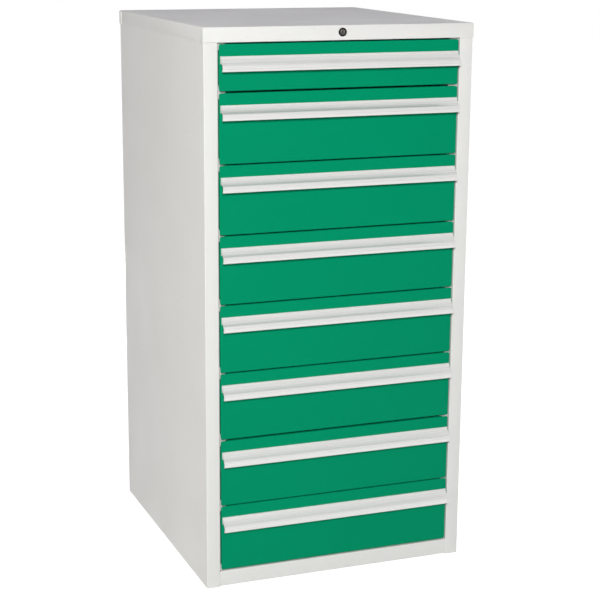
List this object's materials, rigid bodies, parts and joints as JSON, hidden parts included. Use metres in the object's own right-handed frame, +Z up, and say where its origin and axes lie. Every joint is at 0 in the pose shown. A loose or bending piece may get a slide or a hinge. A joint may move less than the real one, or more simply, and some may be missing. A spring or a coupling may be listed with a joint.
{
  "type": "multi-drawer cabinet",
  "caption": "Tall floor-standing steel drawer cabinet with full-width pull handles, a shallow top drawer above deeper ones, telescopic slides and a central lock in the top fascia.",
  "frame": {"origin": "on the floor, under the centre of the whole object's box", "axes": "+X to the right of someone who faces the drawers, +Y to the back, +Z up"},
  "size_m": [0.603, 0.6694, 1.2],
  "materials": {
    "carcass_paint": "light grey powder coat, satin",
    "front_paint": "green powder coat, satin",
    "pull": "satin anodised extrusion",
    "tray_paint": "light grey powder coat, satin",
    "post_paint": "light grey powder coat, satin",
    "slide_steel": "zinc plated, rolled",
    "screw_steel": "zinc plated",
    "lock_case": "dark nickel",
    "lock_face": "bright nickel",
    "lock_steel": "zinc plated",
    "guide_plastic": "black nylon"
  },
  "bodies": {
    "cabinet": {"side_panel_left": "carcass_paint", "side_panel_right": "carcass_paint", "top_cap": "carcass_paint", "back_panel": "carcass_paint", "base_panel": "carcass_paint", "plinth_rail": "carcass_paint", "runner_post_front_left": "post_paint", "runner_post_front_right": "post_paint", "runner_post_rear_left": "post_paint", "runner_post_rear_right": "post_paint", "cabinet_runners_left": "slide_steel", "cabinet_runners_right": "slide_steel", "runner_screws": "screw_steel", "lock_housing": "lock_case", "lock_nut": "lock_steel", "lock_guides": "guide_plastic"},
    "drawer_1": {"drawer_tray_1": "tray_paint", "drawer_front_1": "front_paint", "drawer_handle_1": "pull", "drawer_runner_1": "slide_steel"},
    "slide_1": {"slide_middle_1": "slide_steel"},
    "drawer_2": {"drawer_tray_2": "tray_paint", "drawer_front_2": "front_paint", "drawer_handle_2": "pull", "drawer_runner_2": "slide_steel"},
    "slide_2": {"slide_middle_2": "slide_steel"},
    "drawer_3": {"drawer_tray_3": "tray_paint", "drawer_front_3": "front_paint", "drawer_handle_3": "pull", "drawer_runner_3": "slide_steel"},
    "slide_3": {"slide_middle_3": "slide_steel"},
    "drawer_4": {"drawer_tray_4": "tray_paint", "drawer_front_4": "front_paint", "drawer_handle_4": "pull", "drawer_runner_4": "slide_steel"},
    "slide_4": {"slide_middle_4": "slide_steel"},
    "drawer_5": {"drawer_tray_5": "tray_paint", "drawer_front_5": "front_paint", "drawer_handle_5": "pull", "drawer_runner_5": "slide_steel"},
    "slide_5": {"slide_middle_5": "slide_steel"},
    "drawer_6": {"drawer_tray_6": "tray_paint", "drawer_front_6": "front_paint", "drawer_handle_6": "pull", "drawer_runner_6": "slide_steel"},
    "slide_6": {"slide_middle_6": "slide_steel"},
    "drawer_7": {"drawer_tray_7": "tray_paint", "drawer_front_7": "front_paint", "drawer_handle_7": "pull", "drawer_runner_7": "slide_steel"},
    "slide_7": {"slide_middle_7": "slide_steel"},
    "drawer_8": {"drawer_tray_8": "tray_paint", "drawer_front_8": "front_paint", "drawer_handle_8": "pull", "drawer_runner_8": "slide_steel"},
    "slide_8": {"slide_middle_8": "slide_steel"},
    "lock_plug": {"lock_plug": "lock_face", "lock_cam": "lock_steel"},
    "lock_link": {"lock_link": "lock_steel"},
    "lock_bar": {"lock_bar": "lock_steel"}
  },
  "joints": [
    {"name": "drawer_1_slide", "type": "slide", "parent": "cabinet", "child": "drawer_1", "axis": [0, -1, 0], "range_m": [0, 0.58]},
    {"name": "slide_1_slide", "type": "slide", "parent": "cabinet", "child": "slide_1", "axis": [0, -1, 0], "range_m": [0, 0.29]},
    {"name": "drawer_2_slide", "type": "slide", "parent": "cabinet", "child": "drawer_2", "axis": [0, -1, 0], "range_m": [0, 0.58]},
    {"name": "slide_2_slide", "type": "slide", "parent": "cabinet", "child": "slide_2", "axis": [0, -1, 0], "range_m": [0, 0.29]},
    {"name": "drawer_3_slide", "type": "slide", "parent": "cabinet", "child": "drawer_3", "axis": [0, -1, 0], "range_m": [0, 0.58]},
    {"name": "slide_3_slide", "type": "slide", "parent": "cabinet", "child": "slide_3", "axis": [0, -1, 0], "range_m": [0, 0.29]},
    {"name": "drawer_4_slide", "type": "slide", "parent": "cabinet", "child": "drawer_4", "axis": [0, -1, 0], "range_m": [0, 0.58]},
    {"name": "slide_4_slide", "type": "slide", "parent": "cabinet", "child": "slide_4", "axis": [0, -1, 0], "range_m": [0, 0.29]},
    {"name": "drawer_5_slide", "type": "slide", "parent": "cabinet", "child": "drawer_5", "axis": [0, -1, 0], "range_m": [0, 0.58]},
    {"name": "slide_5_slide", "type": "slide", "parent": "cabinet", "child": "slide_5", "axis": [0, -1, 0], "range_m": [0, 0.29]},
    {"name": "drawer_6_slide", "type": "slide", "parent": "cabinet", "child": "drawer_6", "axis": [0, -1, 0], "range_m": [0, 0.58]},
    {"name": "slide_6_slide", "type": "slide", "parent": "cabinet", "child": "slide_6", "axis": [0, -1, 0], "range_m": [0, 0.29]},
    {"name": "drawer_7_slide", "type": "slide", "parent": "cabinet", "child": "drawer_7", "axis": [0, -1, 0], "range_m": [0, 0.58]},
    {"name": "slide_7_slide", "type": "slide", "parent": "cabinet", "child": "slide_7", "axis": [0, -1, 0], "range_m": [0, 0.29]},
    {"name": "drawer_8_slide", "type": "slide", "parent": "cabinet", "child": "drawer_8", "axis": [0, -1, 0], "range_m": [0, 0.58]},
    {"name": "slide_8_slide", "type": "slide", "parent": "cabinet", "child": "slide_8", "axis": [0, -1, 0], "range_m": [0, 0.29]},
    {"name": "lock_bar_lift", "type": "slide", "parent": "cabinet", "child": "lock_bar", "axis": [0, 0, 1], "range_m": [0, 0.01414]},
    {"name": "lock_link_slide", "type": "slide", "parent": "cabinet", "child": "lock_link", "axis": [1, 0, 0], "range_m": [0, 0.01414]},
    {"name": "lock_turn", "type": "hinge", "parent": "cabinet", "child": "lock_plug", "pos_m": [0, -0.31675, 1.1855], "axis": [0, -1, 0], "range_deg": [0, 90]}
  ],
  "couplings": [
    {"joint": "slide_1_slide", "follows": "drawer_1_slide", "ratio": 0.5},
    {"joint": "slide_2_slide", "follows": "drawer_2_slide", "ratio": 0.5},
    {"joint": "slide_3_slide", "follows": "drawer_3_slide", "ratio": 0.5},
    {"joint": "slide_4_slide", "follows": "drawer_4_slide", "ratio": 0.5},
    {"joint": "slide_5_slide", "follows": "drawer_5_slide", "ratio": 0.5},
    {"joint": "slide_6_slide", "follows": "drawer_6_slide", "ratio": 0.5},
    {"joint": "slide_7_slide", "follows": "drawer_7_slide", "ratio": 0.5},
    {"joint": "slide_8_slide", "follows": "drawer_8_slide", "ratio": 0.5},
    {"joint": "lock_link_slide", "follows": "lock_bar_lift", "ratio": 1},
    {"joint": "lock_turn", "follows": "lock_bar_lift", "rad_per_m": 111.07}
  ]
}
